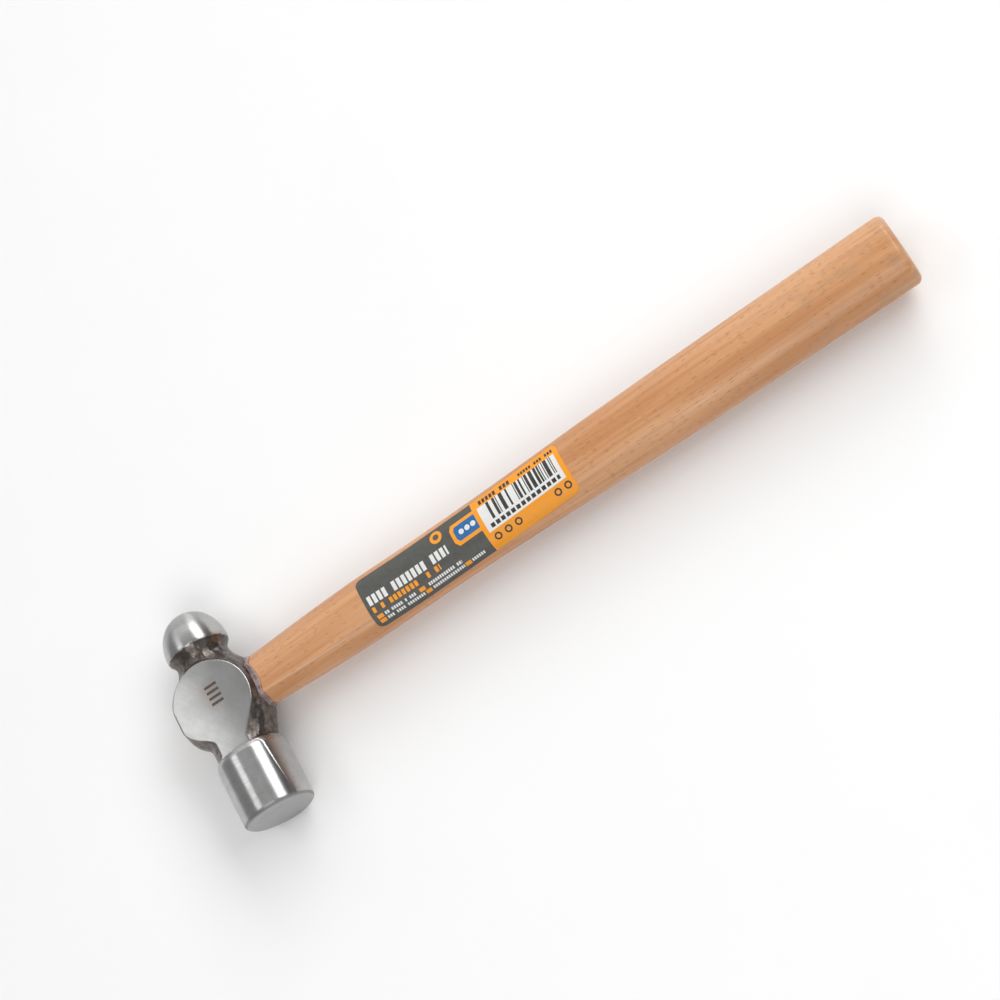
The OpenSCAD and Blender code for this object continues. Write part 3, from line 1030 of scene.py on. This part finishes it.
def make_floor():
    """A pale sheet under the poll, which is the lowest part of the hammer on its side."""
    low = -POLL_R * MM
    mesh = bpy.data.meshes.new("floor")
    corners = [(-1, -1), (1, -1), (1, 1), (-1, 1)]
    places = [(AIM.x + FLOOR_HALF * x, AIM.y + FLOOR_HALF * y, low) for x, y in corners]
    mesh.from_pydata(places, [], [(0, 1, 2, 3)])
    floor = bpy.data.objects.new("floor", mesh)
    bpy.context.scene.collection.objects.link(floor)
    s = Shade("pale_floor")
    faint = s.noise(s.place(), 0.02, 3)
    floor.data.materials.append(s.set(
        Base_Color=s.blend(faint, grey(0.92), grey(0.94)),
        Roughness=0.7,
    ))


def world_ramp(tree, value, span, levels):
    ramp = tree.nodes.new("ShaderNodeMapRange")
    ramp.interpolation_type = "SMOOTHSTEP"
    tree.links.new(value, ramp.inputs["Value"])
    for name, number in zip(("From Min", "From Max", "To Min", "To Max"), span + levels):
        ramp.inputs[name].default_value = number
    return ramp.outputs["Result"]


def make_world():
    """A grey studio, darker past the butt, with a bright wall above the floor past the ball."""
    world = bpy.data.worlds.new("studio")
    bpy.context.scene.world = world
    world.use_nodes = True
    tree = world.node_tree
    direction = tree.nodes.new("ShaderNodeTexCoord").outputs["Generated"]
    split = tree.nodes.new("ShaderNodeSeparateXYZ")
    tree.links.new(direction, split.inputs[0])
    low = world_ramp(tree, split.outputs["X"], (0.72, 0.86), (0.34, 0.12))
    wall = world_ramp(tree, split.outputs["Y"], (0.58, 0.88), (0.0, 1.3))
    high = world_ramp(tree, split.outputs["Z"], (0.15, 0.45), (0.0, 1.0))
    total = tree.nodes.new("ShaderNodeMath")
    total.operation = "MULTIPLY_ADD"
    tree.links.new(wall, total.inputs[0])
    tree.links.new(high, total.inputs[1])
    tree.links.new(low, total.inputs[2])
    tree.links.new(total.outputs[0], tree.nodes["Background"].inputs["Strength"])
    tree.nodes["Background"].inputs["Color"].default_value = (1, 1, 1, 1)


LAMP_DISTANCE = 1.6                  # from the head's middle, in metres like the lamps' sizes
SPREAD = math.radians(62)            # how far from straight ahead a lamp still shines


def softbox(name, tilt, lean, width, length, radiance):
    """A soft rectangular lamp over the head, with its length along the head.

    tilt is its angle from overhead towards the handle, in degrees. lean is the share of its
    distance by which it stands towards the ball.
    """
    reach = math.sqrt(1 - lean * lean)
    away = Vector((reach * math.sin(math.radians(tilt)), lean, reach * math.cos(math.radians(tilt))))
    data = bpy.data.lights.new(name, "AREA")
    data.shape = "RECTANGLE"
    data.size = width
    data.size_y = length
    data.spread = 2 * SPREAD
    data.energy = radiance * math.pi * width * length * (1 - SPREAD / math.tan(SPREAD))
    lamp = bpy.data.objects.new(name, data)
    across = Vector((0, 1, 0)).cross(away).normalized()
    axes = Matrix((across, away.cross(across), away)).transposed().to_4x4()
    lamp.matrix_world = Matrix.Translation(Vector((0, EYE_Y * MM, 0)) + away * LAMP_DISTANCE) @ axes
    bpy.context.scene.collection.objects.link(lamp)


def make_light():
    softbox("key", tilt=50, lean=0.42, width=0.72, length=2.2, radiance=4.6)
    softbox("fill", tilt=-31, lean=0.22, width=0.55, length=1.0, radiance=2.1)
    softbox("front", tilt=0, lean=-0.66, width=1.0, length=0.9, radiance=3.1)
    bpy.context.scene.view_settings.view_transform = "Standard"


# ---------------------------------------------------------------- the hammer

make_camera()
make_floor()
make_world()
make_light()

finish_piece(build_head(), "head", head_steel())
finish_piece(build_handle(), "handle", beech("lacquered_beech"))
finish_piece(build_label(), "label", label_film())
finish_piece(build_bead(), "adhesive_bead", adhesive())

WEDGES = {"wood_wedge": beech("wedge_wood", 0.8, 0.1), "steel_wedge": wedge_steel()}
for node, material in WEDGES.items():
    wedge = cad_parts[node]
    wedge.data.materials.clear()
    wedge.data.materials.append(material)
